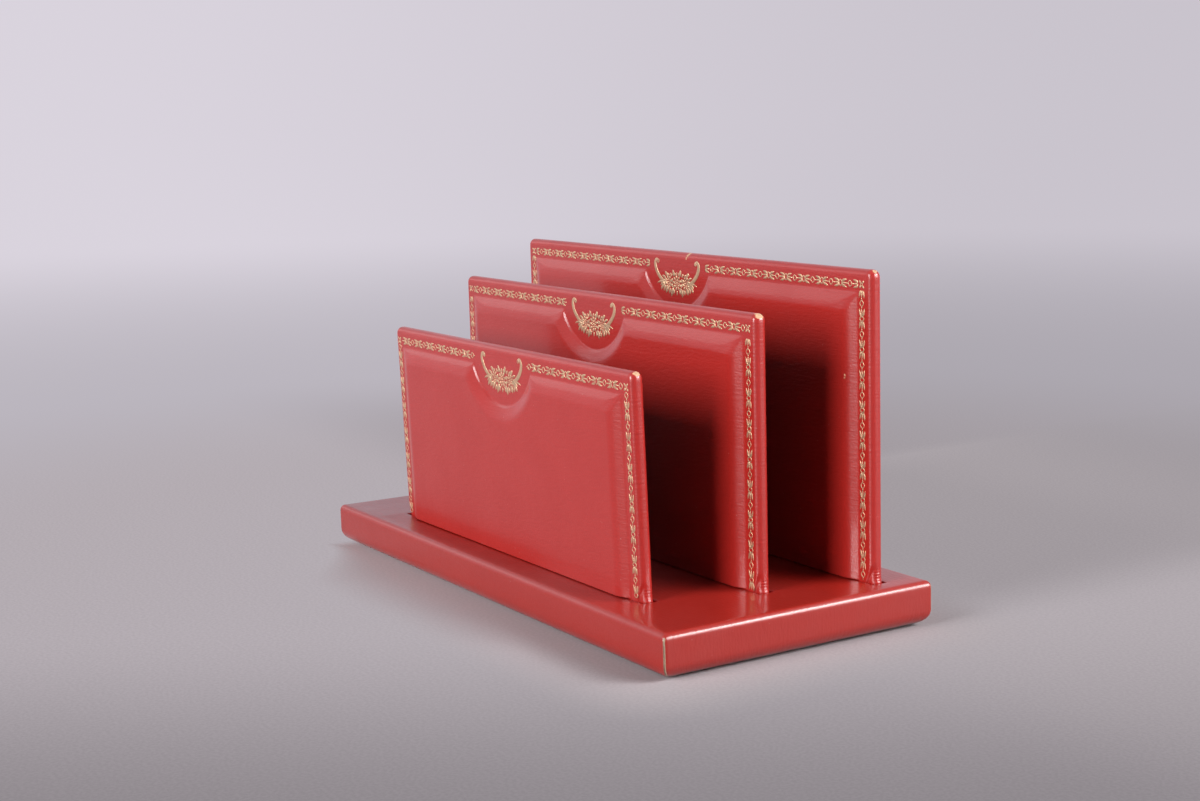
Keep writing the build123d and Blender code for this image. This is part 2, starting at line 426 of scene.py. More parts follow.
def panel_relief(leaf, sizes, x, up):
    """Height of the raised panel. Its climb grows with the distance inside its outline, a plate less the
    notch's circle; the notch's rim starts with a small steep step. Corners are softer higher up, and the
    climb is rounded at its foot, more widely at its shoulder, and most along the top."""
    side = (leaf.width / 2 - sizes.side_inset - np.abs(x)) / sizes.bevel
    top = (leaf.rise - sizes.top_inset - up) / sizes.top_bevel
    from_notch = np.hypot(x, up - leaf.rise - sizes.notch_rise) - sizes.notch_radius
    step = sizes.notch_step * smooth_step(from_notch / sizes.notch_step_width)
    notch = step + (1 - sizes.notch_step) * from_notch / sizes.bevel
    high = smooth_step(np.minimum(np.minimum(side, top), notch))
    plate = smooth_min(side, top, sizes.corner_foot + sizes.corner_ease * high)
    inside = smooth_min(plate, notch, sizes.bite_foot + sizes.bite_ease * high)
    climb = -smooth_min(-inside, np.zeros_like(x), sizes.foot_ease)
    by_plate = smooth_step(0.5 + notch - plate)
    by_top = smooth_step(0.5 + np.minimum(side, notch) - top)
    shoulder = sizes.shoulder_ease + (sizes.side_ease - sizes.shoulder_ease) * by_plate
    shoulder = shoulder + (sizes.top_ease - sizes.side_ease) * by_top
    height = smooth_min(climb, np.ones_like(x), shoulder)
    foot = smooth_step((up - sizes.panel_foot) / sizes.panel_edge)
    return sizes.relief * height * foot


def painted_dull_share(x):
    """How much polish is taken off a foot as painted shade: fully at the left, fading out right of the middle.
    """
    return smooth_step((DULL_END - x) / DULL_FADE)


def closed_pair(near, far):
    """Two sheets on the same grid, joined round their rims into one closed skin: places and quads."""
    rows, columns = near.shape[:2]
    index = np.arange(rows * columns).reshape(rows, columns)
    sheet, rim, count = grid_quads(index), grid_rim(index), rows * columns
    quads = np.concatenate([sheet, sheet[:, ::-1] + count, band_quads(np.stack([rim, rim + count]))])
    return np.concatenate([near.reshape(-1, 3), far.reshape(-1, 3)]), quads


def leaf_cover(leaf, sizes):
    """The leather of one leaf: a front and a back sheet over the leaf's outline, a quarter-circle rim on
    each, the panel's relief on the front and slow waves. At the ends of its foot the front is drawn back past
    a slanting fold, and the side swells out in small creases. Chips and corners carry the wear, and the
    foot has less polish, which paints shade there."""
    half, radius, rise = leaf.width / 2, sizes.edge_round, leaf.rise
    rim = rim_lines(radius, 10)
    plain = lines(
        radius,
        (5 * MM, 0.35 * MM),
        (15 * MM, 0.5 * MM),
        (half - 28 * MM, 3 * MM),
        (half, 0.3 * MM),
    )
    from_edge = np.concatenate([rim, plain[1:]])
    climb = lines(
        -sizes.groove,
        (-1 * MM, 2.5 * MM),
        (0, 0.25 * MM),
        (0.7 * MM, 0.1 * MM),
        (6 * MM, 0.2 * MM),
        (9 * MM, 0.45 * MM),
        (rise - 27.5 * MM, 3 * MM),
        (rise - 6.5 * MM, 0.3 * MM),
        (rise - radius, 0.8 * MM),
    )
    x, up = np.meshgrid(mirrored(half, from_edge), np.concatenate([climb, (rise - rim)[::-1][1:]]))
    side_inset = half - np.abs(x)
    inset = np.minimum(side_inset, rise - up)
    rim_height = sizes.face - radius + quarter_rim(inset, radius)
    relief = panel_relief(leaf, sizes, x, up)
    waves = np.sin(x / (9 * MM) + 1.3) * np.sin(up / (7 * MM))
    waves = waves + np.sin(x / (17 * MM) - up / (12 * MM) + leaf.y / MM)
    front = -(rim_height + relief + 0.5 * sizes.swell * waves * relief / sizes.relief)

    low = np.maximum(up, 0)
    run_out = 1 - low / sizes.fold_height
    past_fold = smooth_step((sizes.fold_reach * run_out - side_inset) / sizes.fold_width + 0.5)
    front = front * (1 - sizes.tuck * past_fold * smooth_step(3 * run_out))
    at_side = np.exp(-side_inset / sizes.gather_depth)
    creases = sizes.crease_height * np.sin(low / sizes.crease_wave)
    creases = creases * bump(low - sizes.crease_rise, sizes.crease_reach) * at_side
    flare = sizes.foot_flare * bump(low, sizes.flare_height) * at_side
    plan_x, plan_up = round_corners(x, up, half, rise, sizes.corner_round, False)
    plan_x = plan_x + np.sign(x) * (creases + flare)

    points, quads = closed_pair(leaf.point(plan_x, front, plan_up), leaf.point(plan_x, rim_height, plan_up))
    over_top = np.clip(1 - (rise - up) / GRAIN_WRAP, 0, 1)
    beside_wear = half - sizes.wear_inset - np.abs(plan_x)
    below_wear = rise - sizes.wear_drop - plan_up
    grains, wears = [], []
    for depth in (front, rim_height):
        grains.append(np.stack([x, up + (depth + sizes.face) * over_top, 0 * x], -1).reshape(-1, 3))
        from_wear = np.sqrt(beside_wear**2 + below_wear**2 + depth**2)
        worn = bump(from_wear, leaf.wear * sizes.corner_wear) * np.where(x > 0, 1.0, LEFT_WEAR)
        for chip_x, below, reach in leaf.chips:
            worn = np.maximum(worn, bump(np.hypot(x - chip_x, rise - below - up), reach) * (depth < 0))
        wears.append(worn.ravel())
    # Painted shade: less polish at the foot
    dull = np.tile((sizes.painted_dullness * bump(low, sizes.dull_reach) * painted_dull_share(x)).ravel(), 2)
    return points, quads, {"grain": np.concatenate(grains), "rubbed": np.concatenate(wears), "dull": dull}


def lining_sheet(leaf, sizes):
    """The lining at the back of a leaf: a thin rectangular sheet with round upper corners, eased edges and a
    little unevenness from the glue."""
    half, rise = leaf.width / 2 - sizes.lining_inset, leaf.rise - sizes.lining_inset
    radius = sizes.lining_round
    rim = rim_lines(radius, 5)
    from_edge = np.concatenate([rim, lines(radius, (6 * MM, 1.2 * MM), (half, 4 * MM))[1:]])
    climb = lines(-sizes.groove, (0, 4 * MM), (rise - 6 * MM, 4 * MM), (rise - radius, 1.2 * MM))
    x, up = np.meshgrid(mirrored(half, from_edge), np.concatenate([climb, (rise - rim)[::-1][1:]]))
    inset = np.minimum(half - np.abs(x), rise - up)
    uneven = sizes.lining_swell * np.sin(x / (11 * MM) + leaf.y / MM) * np.sin(up / (8 * MM) + 0.7)
    back = sizes.face + sizes.lining * quarter_rim(inset, radius) / radius
    back = back + uneven * smooth_step(inset / WAVE_FADE)
    plan_x, plan_up = round_corners(x, up, half, rise, sizes.lining_corner, False)
    near = leaf.point(plan_x, sizes.face - sizes.lining_sink + 0 * x, plan_up)
    points, quads = closed_pair(near, leaf.point(plan_x, back, plan_up))
    grain = np.stack([x, up, 0 * x], -1).reshape(-1, 3)
    rubbed = np.tile(0.2 * bump(inset, 0.5 * MM).ravel(), 2)
    return points, quads, {"grain": np.concatenate([grain, grain]), "rubbed": rubbed}


def base_grid(found, sizes, half_x, half_y):
    """Places over the top of the base, on lines that lie close together round its rim and by the slits."""
    radius = sizes.top_round
    rim = rim_lines(radius, 11)
    from_end, from_side = (
        np.concatenate([rim, lines(radius, (half, 3 * MM))[1:]]) for half in (half_x, half_y)
    )
    beside = np.array([-SLIT_GAP, 0, SLIT_GAP, 0.2 * MM, sizes.lip])
    ends = [half_x - (leaf.width / 2 + sizes.slit_end + beside) for leaf in found]
    fronts = [leaf.y - (sizes.slit_front + beside) for leaf in found]
    backs = [leaf.y + (sizes.slit_back + beside) for leaf in found]
    along = mirrored(half_x, np.sort(np.concatenate([from_end, *ends])))
    across = np.sort(np.concatenate([mirrored(half_y, from_side), *fronts, *backs]))
    return np.meshgrid(along, across)


def slit_drop(leaf, sizes, groove, x, y):
    """How far a leaf's slit lowers the top of the base: by the groove inside it, and by the quarter circle of
    its lip beside it."""
    middle = leaf.y + (sizes.slit_back - sizes.slit_front) / 2
    beyond_y = np.abs(y - middle) - (sizes.slit_front + sizes.slit_back) / 2
    beyond = np.maximum(np.abs(x) - leaf.width / 2 - sizes.slit_end, beyond_y)
    lip = sizes.lip - quarter_rim(np.maximum(beyond, 0), sizes.lip)
    return np.where(beyond < -SLIT_GAP / 2, groove, lip)


def painted_strip_dullness(leaf, sizes, x, y):
    """How much polish is taken off a strip of the base before a leaf as painted shade, fading out round the
    strip.
    """
    half = sizes.dull_depth / 2
    before = np.abs(y - leaf.y + sizes.slit_front + half) - half
    beyond = np.maximum(np.maximum(before, np.abs(x) - leaf.width / 2), 0)
    return sizes.painted_dullness * bump(beyond, sizes.dull_reach) * painted_dull_share(x)


def base_cover(found, sizes, groove):
    """The leather of the base: a top sheet with a quarter-circle rim and a lipped slit for every leaf, then
    rings that run down the sides, round the lower edge and in under the base, and a cap. The upright corners
    are round, with a shallow seam where the cut edges meet. Less polish paints shade before the front leaf."""
    low, high = BASE_BOX
    half_x, half_y, radius = high.x, high.y, sizes.top_round
    x, y = base_grid(found, sizes, half_x, half_y)
    from_end, from_side = half_x - np.abs(x), half_y - np.abs(y)
    inset = np.minimum(from_end, from_side)
    waves = np.sin(x / (13 * MM)) * np.sin(y / (6 * MM) + 0.4) + np.sin(x / (23 * MM) + y / (9 * MM))
    z = high.z - radius + quarter_rim(inset, radius)
    z = z + 0.5 * sizes.swell * waves * smooth_step((inset - radius) / WAVE_FADE)
    for leaf in found:
        z = z - slit_drop(leaf, sizes, groove, x, y)
    plan_x, plan_y = round_corners(x, y, half_x, half_y, sizes.corner_round, True)
    top = np.stack([plan_x, plan_y, z], -1).reshape(-1, 3)
    index = np.arange(x.size).reshape(x.shape)
    rim = grid_rim(index)
    rim_x, rim_y, rim_end, rim_side = (a.ravel()[rim] for a in (x, y, from_end, from_side))

    wall = np.linspace(high.z - radius, low.z + sizes.under_round, 5)[1:]
    turn = np.linspace(0, math.pi / 2, 10)[1:]
    step_in = np.concatenate([0 * wall, sizes.under_round * (1 - np.cos(turn)), [sizes.turn_under]])
    heights = np.concatenate([wall, low.z + sizes.under_round * (1 - np.sin(turn)), [low.z]])
    from_seam = rim_end + rim_side
    seam = 1 - sizes.seam_depth * bump(from_seam, sizes.seam_reach) / np.hypot(half_x, half_y)
    rings_x = plan_x.ravel()[rim] * seam * (1 - step_in / half_x)[:, None]
    rings_y = plan_y.ravel()[rim] * seam * (1 - step_in / half_y)[:, None]
    rings = np.stack(np.broadcast_arrays(rings_x, rings_y, heights[:, None]), -1).reshape(-1, 3)
    stack = np.concatenate([rim[None], x.size + np.arange(rings_x.size).reshape(rings_x.shape)])
    quads = np.concatenate([grid_quads(index), band_quads(stack), cap_quads(stack[-1])])

    path = np.concatenate([[0], np.cumsum(np.hypot(np.diff(step_in), np.diff(heights)))]) + radius
    at_end = rim_end < rim_side
    grain_x = np.where(at_end, np.sign(rim_x) * (np.abs(rim_x) + path[:, None]), rim_x)
    grain_y = np.where(at_end, rim_y, np.sign(rim_y) * (np.abs(rim_y) + path[:, None]))
    grains = [np.stack([a, b, 0 * a], -1).reshape(-1, 3) for a, b in ((x, y), (grain_x, grain_y))]
    from_corner = np.hypot(from_end, from_side)
    faint, strong = 0.30 * bump(from_corner, sizes.corner_wear), 0.9 * bump(from_corner, sizes.corner_scuff)
    below_top = smooth_step((high.z - sizes.seam_start - heights[:, None]) / sizes.seam_fade)
    raw = np.where(from_seam < sizes.seam_width, below_top, 0.0)
    # Painted shade: less polish on the strip before the front leaf
    strip = painted_strip_dullness(found[0], sizes, x, y)
    values = {
        "grain": np.concatenate(grains),
        "rubbed": np.concatenate([np.maximum(faint, strong).ravel(), raw.ravel()]),
        "dull": np.concatenate([strip.ravel(), np.zeros(raw.size)]),
    }
    return np.concatenate([top, rings]), quads, values


def through(points, count):
    """A smooth line through points: each stretch is a cubic whose ends lean along its neighbours."""
    p = np.asarray(points, float)
    padded = np.concatenate([2 * p[:1] - p[1:2], p, 2 * p[-1:] - p[-2:-1]])
    at = np.linspace(0, len(p) - 1, count)
    start = np.minimum(at.astype(int), len(p) - 2)
    t = (at - start)[:, None]
    a, b, c, d = (padded[start + k] for k in range(4))
    return b + 0.5 * t * (c - a + t * (2 * a - 5 * b + 4 * c - d + t * (3 * (b - c) + d - a)))


def stroke(line, half_width, closed=False):
    """One stroke of gilding: a low flat-topped ridge along a line, whose edges are sunk in the leather.
    Returns places along and across, heights as shares of the lift, and quads."""
    line = np.asarray(line, float)
    ahead = np.roll(line, -1, 0) - np.roll(line, 1, 0) if closed else np.gradient(line, axis=0)
    span = np.maximum(np.linalg.norm(ahead, axis=1, keepdims=True), TINY)
    side = np.stack([-ahead[:, 1], ahead[:, 0]], -1) / span
    reach = side * np.broadcast_to(np.asarray(half_width, float), len(line))[:, None]
    places = line[:, None] + reach[:, None] * np.array(STROKE_ACROSS)[:, None]
    heights = np.broadcast_to(STROKE_HEIGHTS, places.shape[:2])
    index = np.arange(len(line) * 4).reshape(-1, 4)
    around = np.concatenate([index, index[:, :1]], 1)
    if closed:
        quads = grid_quads(np.concatenate([around, around[:1]]).T)
    else:
        quads = np.concatenate([grid_quads(around.T), index[:1], index[-1:, ::-1]])
    return places.reshape(-1, 2), heights.ravel(), quads


def petal(start, end, width, bend=0.0, count=7):
    """A stroke from a start to an end that swells in the middle like a petal, bowed sideways by a share of
    its length."""
    start, along = np.asarray(start, float), np.subtract(end, start, dtype=float)
    t = np.linspace(0, 1, count)[:, None]
    bow = np.array([-along[1], along[0]]) * bend * 4 * t * (1 - t)
    swell = np.sqrt(np.maximum(np.sin(math.pi * t[:, 0] ** 0.8), 0)) * 0.94 + 0.06
    return stroke(start + along * t + bow, width * swell)


def ring(centre, along, across, width, count=12, point=1.0):
    """A closed stroke round an oval; a power over 1 draws its sides in, so that it has four points."""
    turn = np.linspace(0, 2 * math.pi, count, endpoint=False)
    waves = (along, np.cos(turn)), (across, np.sin(turn))
    flat = [reach * np.sign(wave) * np.abs(wave) ** point for reach, wave in waves]
    return stroke(np.asarray(centre) + np.stack(flat, -1), width, closed=True)


def joined(faces, places):
    """The faces of several meshes as one, numbered through all their places."""
    starts = np.cumsum([0] + [len(p) for p in places[:-1]])
    return np.concatenate([f + start for f, start in zip(faces, starts)])


def gathered(strokes):
    """Several strokes as one motif, each a hair higher or lower than those before it."""
    places, heights, quads = zip(*strokes)
    raised = [h * (0.8 + 0.4 * (0.618 * k % 1)) for k, h in enumerate(heights)]
    return np.concatenate(places), np.concatenate(raised), joined(quads, places)


def bell(way):
    """A bell of two drooping leaves about a bud, which opens along the border, in millimetres."""
    strokes = [petal((0.9 * way, 0), (3.4 * way, 0), 0.36)]
    for side in (-1, 1):
        leaf = [(0.95, 0.2), (1.35, 0.8), (2.2, 1.06), (3.35, 1.36)]
        line = through(np.array(leaf) * [way, side], 9)
        strokes.append(stroke(line, [0.15, 0.32, 0.44, 0.50, 0.52, 0.50, 0.42, 0.28, 0.08]))
    return strokes


def roll_strokes(repeat):
    """One repeat of the border, in millimetres along and across: a small ring with a bell on each side of it,
    a stem from each bell, and a pointed open bead, half a repeat away."""
    strokes = [ring((0, 0), 0.78, 1.05, 0.24), ring((repeat / 2, 0), 0.98, 0.98, 0.21, 16, 1.3)]
    for way in (-1, 1):
        strokes += bell(way)
        strokes.append(stroke(np.linspace((3.2 * way, 0), (way * (repeat / 2 - 0.9), 0), 3), 0.20))
    return strokes


def corner_strokes():
    """The leaf that turns the border at a corner, in millimetres: a bead with four short petals."""
    strokes = [ring((0, 0), 0.5, 0.5, 0.24)]
    for turn in np.radians([45, 135, 225, 315]):
        out = np.array([math.cos(turn), math.sin(turn)])
        strokes.append(petal(0.6 * out, 1.8 * out, 0.46, 0, 5))
    return strokes


def flower(centre, size, petals):
    """A flower of two rows of petals round a raised eye."""
    centre, strokes = np.array(centre), []
    outer_row = 0.46, 1.0, 0.57 * math.pi / petals, 0.3
    inner_row = 0.20, 0.56, 0.264 * math.pi / petals, 0.3 + math.pi / petals
    for inner, outer, width, start in (outer_row, inner_row):
        for turn in np.linspace(0, 2 * math.pi, petals, endpoint=False) + start:
            out = size * np.array([math.cos(turn), math.sin(turn)])
            strokes.append(petal(centre + inner * out, centre + outer * out, width * size, 0, 6))
    strokes.append(petal(centre - [0, 0.17 * size], centre + [0, 0.17 * size], 0.17 * size, 0, 6))
    return strokes


def spray_motif():
    """The spray in the notch, in millimetres from the middle of the leaf's top edge: two tapering horns that
    curl at their tips, and between them a close swag of three flowers among pointed leaves."""
    strokes = []
    stem = (7.4, -12.0), (10.4, -10.9), (12.9, -9.0), (14.4, -7.0)
    curl = (15.0, -5.2), (14.7, -3.8), (13.7, -3.3), (12.9, -3.7)
    thickness = np.interp(np.linspace(0, 1, 32), [0, 0.2, 0.5, 0.8, 1], [0.60, 0.95, 1.00, 0.74, 0.62])
    leaves_out = (
        ((2.2, -9.4), (2.8, -6.7), 0.86),
        ((1.4, -9.2), (1.4, -7.7), 0.46),
        ((3.6, -9.6), (4.5, -8.0), 0.55),
        ((6.4, -9.7), (8.3, -7.7), 0.80),
        ((5.4, -9.4), (6.2, -8.2), 0.48),
        ((7.6, -10.5), (10.2, -9.3), 0.60),
        ((2.2, -13.6), (3.9, -17.0), 0.92),
        ((1.6, -14.2), (2.1, -16.2), 0.50),
        ((4.2, -14.0), (5.5, -16.1), 0.74),
        ((6.0, -13.4), (7.6, -15.9), 0.90),
        ((7.6, -13.0), (9.2, -15.3), 0.74),
        ((8.2, -12.3), (11.2, -14.9), 0.76),
        ((8.6, -11.9), (11.6, -13.2), 0.58),
        ((8.8, -11.7), (13.8, -12.4), 0.46),
        ((3.0, -10.0), (3.5, -11.9), 0.56),
        ((3.2, -13.8), (3.4, -11.9), 0.56),
        ((8.2, -10.6), (9.2, -12.4), 0.50),
    )
    for way in (-1, 1):
        flip = np.array([way, 1])
        strokes.append(stroke(through(np.array(stem + curl) * flip, 32), thickness))
        strokes.append(ring((12.9 * way, -3.9), 0.50, 0.50, 0.36, 10))
        for start, end, width in leaves_out:
            strokes.append(petal(start * flip, end * flip, width, 0.08 * way))
        strokes += flower((5.9 * way, -11.6), 2.7, 8)
    strokes.append(petal((0, -14.6), (0, -16.4), 0.50))
    strokes.append(petal((0, -9.0), (0, -7.5), 0.48))
    strokes += flower((0, -11.7), 3.1, 9)
    return gathered(strokes)


def gilt_points(leaf, sizes, gilt, x, up, heights):
    """Gilding on a leaf's flat margin: its tops lie just over the leather and its edges in it."""
    return leaf.point(x, -(sizes.face + gilt.lift * heights), up).reshape(-1, 3)


def border(leaf, sizes, gilt):
    """The border of one leaf: the roll laid along both sides and along the top up to the notch, with its
    beads where they fall on the leaf and no stroke past a run's ends, and a small leaf at each corner."""
    roll, corner = roll_strokes(gilt.repeat / MM), corner_strokes()
    x_line, top_line = leaf.width / 2 - leaf.side_line, leaf.rise - gilt.top_line
    right, left, down = leaf.beads
    side = gilt.foot_gap, top_line - gilt.corner_gap, leaf.rise - down
    top = gilt.notch_stop, x_line - gilt.corner_gap
    runs = [
        ((-x_line, 0), (0, 1), *side),
        ((x_line, 0), (0, 1), *side),
        ((0, top_line), (-1, 0), *top, left),
        ((0, top_line), (1, 0), *top, right),
    ]
    points, faces = [], []

    def lay(strokes, origin, ahead, places_along, start, end):
        ahead = np.array(ahead, float)
        across = np.array([-ahead[1], ahead[0]])
        places, heights, quads = gathered(strokes)
        owner = np.repeat(np.arange(len(strokes)), [len(s[0]) for s in strokes])
        low, high = (np.array([pick(s[0][:, 0]) for s in strokes]) * MM for pick in (np.min, np.max))
        for middle in places_along:
            kept = ((middle + low > start) & (middle + high < end))[owner]
            number_kept = np.cumsum(kept) - 1
            flat = np.array(origin) + (middle + places[kept, :1] * MM) * ahead
            flat = flat + places[kept, 1:] * MM * across
            points.append(gilt_points(leaf, sizes, gilt, flat[:, 0], flat[:, 1], heights[kept]))
            faces.append(number_kept[quads[kept[quads[:, 0]]]])

    for origin, ahead, start, end, bead in runs:
        middle = bead + gilt.repeat / 2
        first, last = math.floor((start - middle) / gilt.repeat), math.ceil((end - middle) / gilt.repeat)
        lay(roll, origin, ahead, middle + gilt.repeat * np.arange(first, last + 1), start, end)
    for way in (-1, 1):
        lay(corner, (way * x_line, top_line), (1, 0), [0.0], -math.inf, math.inf)
    return np.concatenate(points), joined(faces, points)


def spray(leaf, sizes, gilt):
    """The spray of one leaf, in the notch under the middle of its top edge."""
    places, heights, quads = spray_motif()
    return gilt_points(leaf, sizes, gilt, places[:, 0] * MM, leaf.rise + places[:, 1] * MM, heights), quads


def fill(tree, made, inputs):
    """Fills the sockets of a node: a socket is linked to them, and anything else is their value."""
    for key, value in inputs.items():
        if isinstance(value, bpy.types.NodeSocket):
            tree.links.new(value, made.inputs[key])
        else:
            made.inputs[key].default_value = value


def node(tree, kind, inputs=None, **settings):
    """Adds a node, sets its options and fills its sockets."""
    made = tree.nodes.new(kind)
    for key, value in settings.items():
        setattr(made, key, value)
    fill(tree, made, inputs or {})
    return made


def finish(name):
    """A new material, its node tree and its main shader."""
    material = bpy.data.materials.new(name)
    material.use_nodes = True
    tree = material.node_tree
    return material, tree, tree.nodes["Principled BSDF"]


def object_place(tree):
    """The place in the object's own frame, which is the holder's."""
    return node(tree, "ShaderNodeTexCoord").outputs["Object"]


def noise(tree, vector, scale, detail=2.0, stretch=(1, 1, 1)):
    """A noise value on a vector that is first stretched."""
    mapping = node(tree, "ShaderNodeMapping", {"Vector": vector, "Scale": stretch})
    inputs = {"Vector": mapping.outputs[0], "Scale": scale, "Detail": detail}
    return node(tree, "ShaderNodeTexNoise", inputs).outputs["Fac"]


def between(tree, value, low, high, to_low=0.0, to_high=1.0):
    """A value carried smoothly from one range to another."""
    return node(
        tree,
        "ShaderNodeMapRange",
        {"Value": value, "From Min": low, "From Max": high, "To Min": to_low, "To Max": to_high},
        interpolation_type="SMOOTHSTEP",
    ).outputs[0]


def mixed(tree, factor, first, second):
    """One colour, then another, by a factor."""
    made = node(tree, "ShaderNodeMix", {"Factor": factor}, data_type="RGBA")
    for key, value in (("A", first), ("B", second)):
        inlet = next(k for k, i in enumerate(made.inputs) if i.name == key and i.type == "RGBA")
        fill(tree, made, {inlet: value if isinstance(value, bpy.types.NodeSocket) else (*value, 1)})
    return next(o for o in made.outputs if o.type == "RGBA")


def maths(tree, operation, *values):
    """A sum, product or other operation on values."""
    return node(tree, "ShaderNodeMath", dict(enumerate(values)), operation=operation).outputs[0]


def vectors(tree, operation, first, second=(0, 0, 0), outlet="Vector"):
    """A sum, product or other operation on vectors, or its value."""
    return node(tree, "ShaderNodeVectorMath", {0: first, 1: second}, operation=operation).outputs[outlet]


def tilted(tree, height, strength, distance):
    """The surface's direction, tilted by a height."""
    inputs = {"Height": height, "Strength": strength, "Distance": distance}
    return node(tree, "ShaderNodeBump", inputs).outputs[0]


def dust(tree, vector, scale, reach):
    """Tiny far-apart specks: the middles of some of the cells of a random net."""
    cells = node(tree, "ShaderNodeTexVoronoi", {"Vector": vector, "Scale": scale, "Randomness": 1.0}).outputs
    pick = node(tree, "ShaderNodeSeparateColor", {"Color": cells["Color"]}).outputs[0]
    chosen = between(tree, pick, 0.64, 0.66)
    return maths(tree, "MULTIPLY", chosen, between(tree, cells["Distance"], reach, 0.3 * reach))


def leather_finish(name, light, dark, raw, roughness, grain_depth, polish):
    """Polished leather with a straight grain that runs along the piece and spreads its gloss across it, a
    fine pebble, a smooth coat of polish over both, specks of dust, and raw leather where the piece is rubbed
    or cut. Where the piece is marked for painted shade, it has less polish."""
    material, tree, shader = finish(name)
    grain = node(tree, "ShaderNodeAttribute", attribute_name="grain").outputs["Vector"]
    rubbed, dull = (
        node(tree, "ShaderNodeAttribute", attribute_name=key).outputs["Fac"] for key in ("rubbed", "dull")
    )
    place = object_place(tree)
    straight = noise(tree, grain, 1.0, 1.0, (260, 1150, 1))
    pebble = noise(tree, grain, 1.0, 1.0, (1500, 1900, 1))
    cloud = noise(tree, place, 45.0, 3.0)
    scuff = noise(tree, place, 900.0, 3.0)
    height = maths(tree, "ADD", straight, maths(tree, "MULTIPLY", pebble, 0.5))
    lines_deep = maths(tree, "MULTIPLY", between(tree, straight, 0.62, 0.34), 0.12)
    cloud_deep = maths(tree, "MULTIPLY", between(tree, cloud, 0.35, 0.7), 0.25)
    deep = maths(tree, "ADD", lines_deep, cloud_deep)
    ragged = maths(tree, "MULTIPLY", maths(tree, "SUBTRACT", scuff, 0.5), 0.9)
    worn = between(tree, maths(tree, "ADD", rubbed, ragged), 0.42, 0.58)
    tan = mixed(tree, scuff, tuple(0.55 * c for c in raw), tuple(min(1.0, 1.4 * c) for c in raw))
    dusty = maths(tree, "MULTIPLY", dust(tree, grain, 300.0, 0.07), 0.35)
    red = mixed(tree, dusty, mixed(tree, deep, light, dark), DUST)
    gloss = between(tree, cloud, 0.3, 0.7, roughness - 0.03, roughness + 0.04)
    # Painted shade: polish is taken off where the piece is marked for it
    shine = maths(tree, "SUBTRACT", 1.0, dull)
    look = {
        "Base Color": mixed(tree, worn, red, tan),
        "Roughness": maths(tree, "ADD", gloss, maths(tree, "MULTIPLY", worn, 0.3)),
        "IOR": 1.5,
        "Specular IOR Level": maths(tree, "MULTIPLY", shine, 0.37),
        "Coat Weight": maths(tree, "MULTIPLY", shine, polish),
        "Coat Roughness": 0.10,
        "Anisotropic": 0.6,
        "Anisotropic Rotation": 0.25,
        "Tangent": node(tree, "ShaderNodeTangent", direction_type="RADIAL", axis="Z").outputs[0],
        "Normal": tilted(tree, height, 1.0, grain_depth),
        "Coat Normal": tilted(tree, height, 1.0, 0.25 * grain_depth),
    }
    fill(tree, shader, look)
    return material


def gold_finish(name, gold, rubbed):
    """Gold leaf with small changes of gloss, rubbed thin in patches."""
    material, tree, shader = finish(name)
    place = object_place(tree)
    thin = between(tree, noise(tree, place, 520.0, 3.0), 0.58, 0.70)
    ripple = noise(tree, place, 2600.0, 2.0)
    look = {
        "Base Color": mixed(tree, thin, gold, rubbed),
        "Metallic": between(tree, thin, 0, 1, 0.85, 0.3),
        "Roughness": between(tree, ripple, 0.3, 0.7, 0.36, 0.54),
        "Normal": tilted(tree, ripple, 0.6, 0.1 * MM),
    }
    fill(tree, shader, look)
    return material


def fibre_finish(name, base, stretch, scale, roughness):
    """Wood, card or felt: fibres along the stretched direction, darker between them."""
    material, tree, shader = finish(name)
    fibres = noise(tree, object_place(tree), scale, 4.0, stretch)
    dark = tuple(0.6 * c for c in base)
    look = {
        "Base Color": mixed(tree, between(tree, fibres, 0.35, 0.65), dark, base),
        "Roughness": roughness,
        "Normal": tilted(tree, fibres, 0.4, 0.2 * MM),
    }
    fill(tree, shader, look)
    return material


def kept(name, maker, *values):
    """The material of that name, made the first time that it is asked for."""
    return bpy.data.materials.get(name) or maker(name, *values)


def red_leather(settings, name, raw, shade=(1, 1, 1)):
    """The holder's polished red leather, or a darker copy of it that partly paints shade, with its raw colour.
    """
    f = settings.finish
    light, dark = (tuple(s * c for s, c in zip(shade, tone)) for tone in (f.leather, f.leather_dark))
    return kept(name, leather_finish, light, dark, tuple(raw), 0.36, 0.09 * MM, 0.5)


def lining_leather(settings):
    """The very dark red leather at the backs of the leaves; its darkness is painted shade for the gaps between
    them.
    """
    f = settings.finish
    dark = tuple(0.75 * c for c in f.lining)
    return kept("lining_leather", leather_finish, tuple(f.lining), dark, tuple(f.raw), 0.45, 0.03 * MM, 0.1)


def gold_leaf(settings):
    """The holder's gilding."""
    return kept("gold_leaf", gold_finish, tuple(settings.finish.gold), tuple(settings.finish.gold_rubbed))


class HOLDER_OT_leaf_covers(bpy.types.Operator):
    """Builds the leather over the three leaves"""

    bl_idname = "letter_holder.leaf_covers"
    bl_label = "Leaf covers"

    def execute(self, context):
        settings = context.scene.letter_holder
        leather = red_leather(settings, "polished_red_leather", settings.finish.raw)
        for leaf in leaves(settings.leaf):
            name, under = leaf.name + "_cover", [leaf.name + "_leather"]
            make_piece(name, *leaf_cover(leaf, settings.leaf), leather, "red_leather", under)
        return {"FINISHED"}


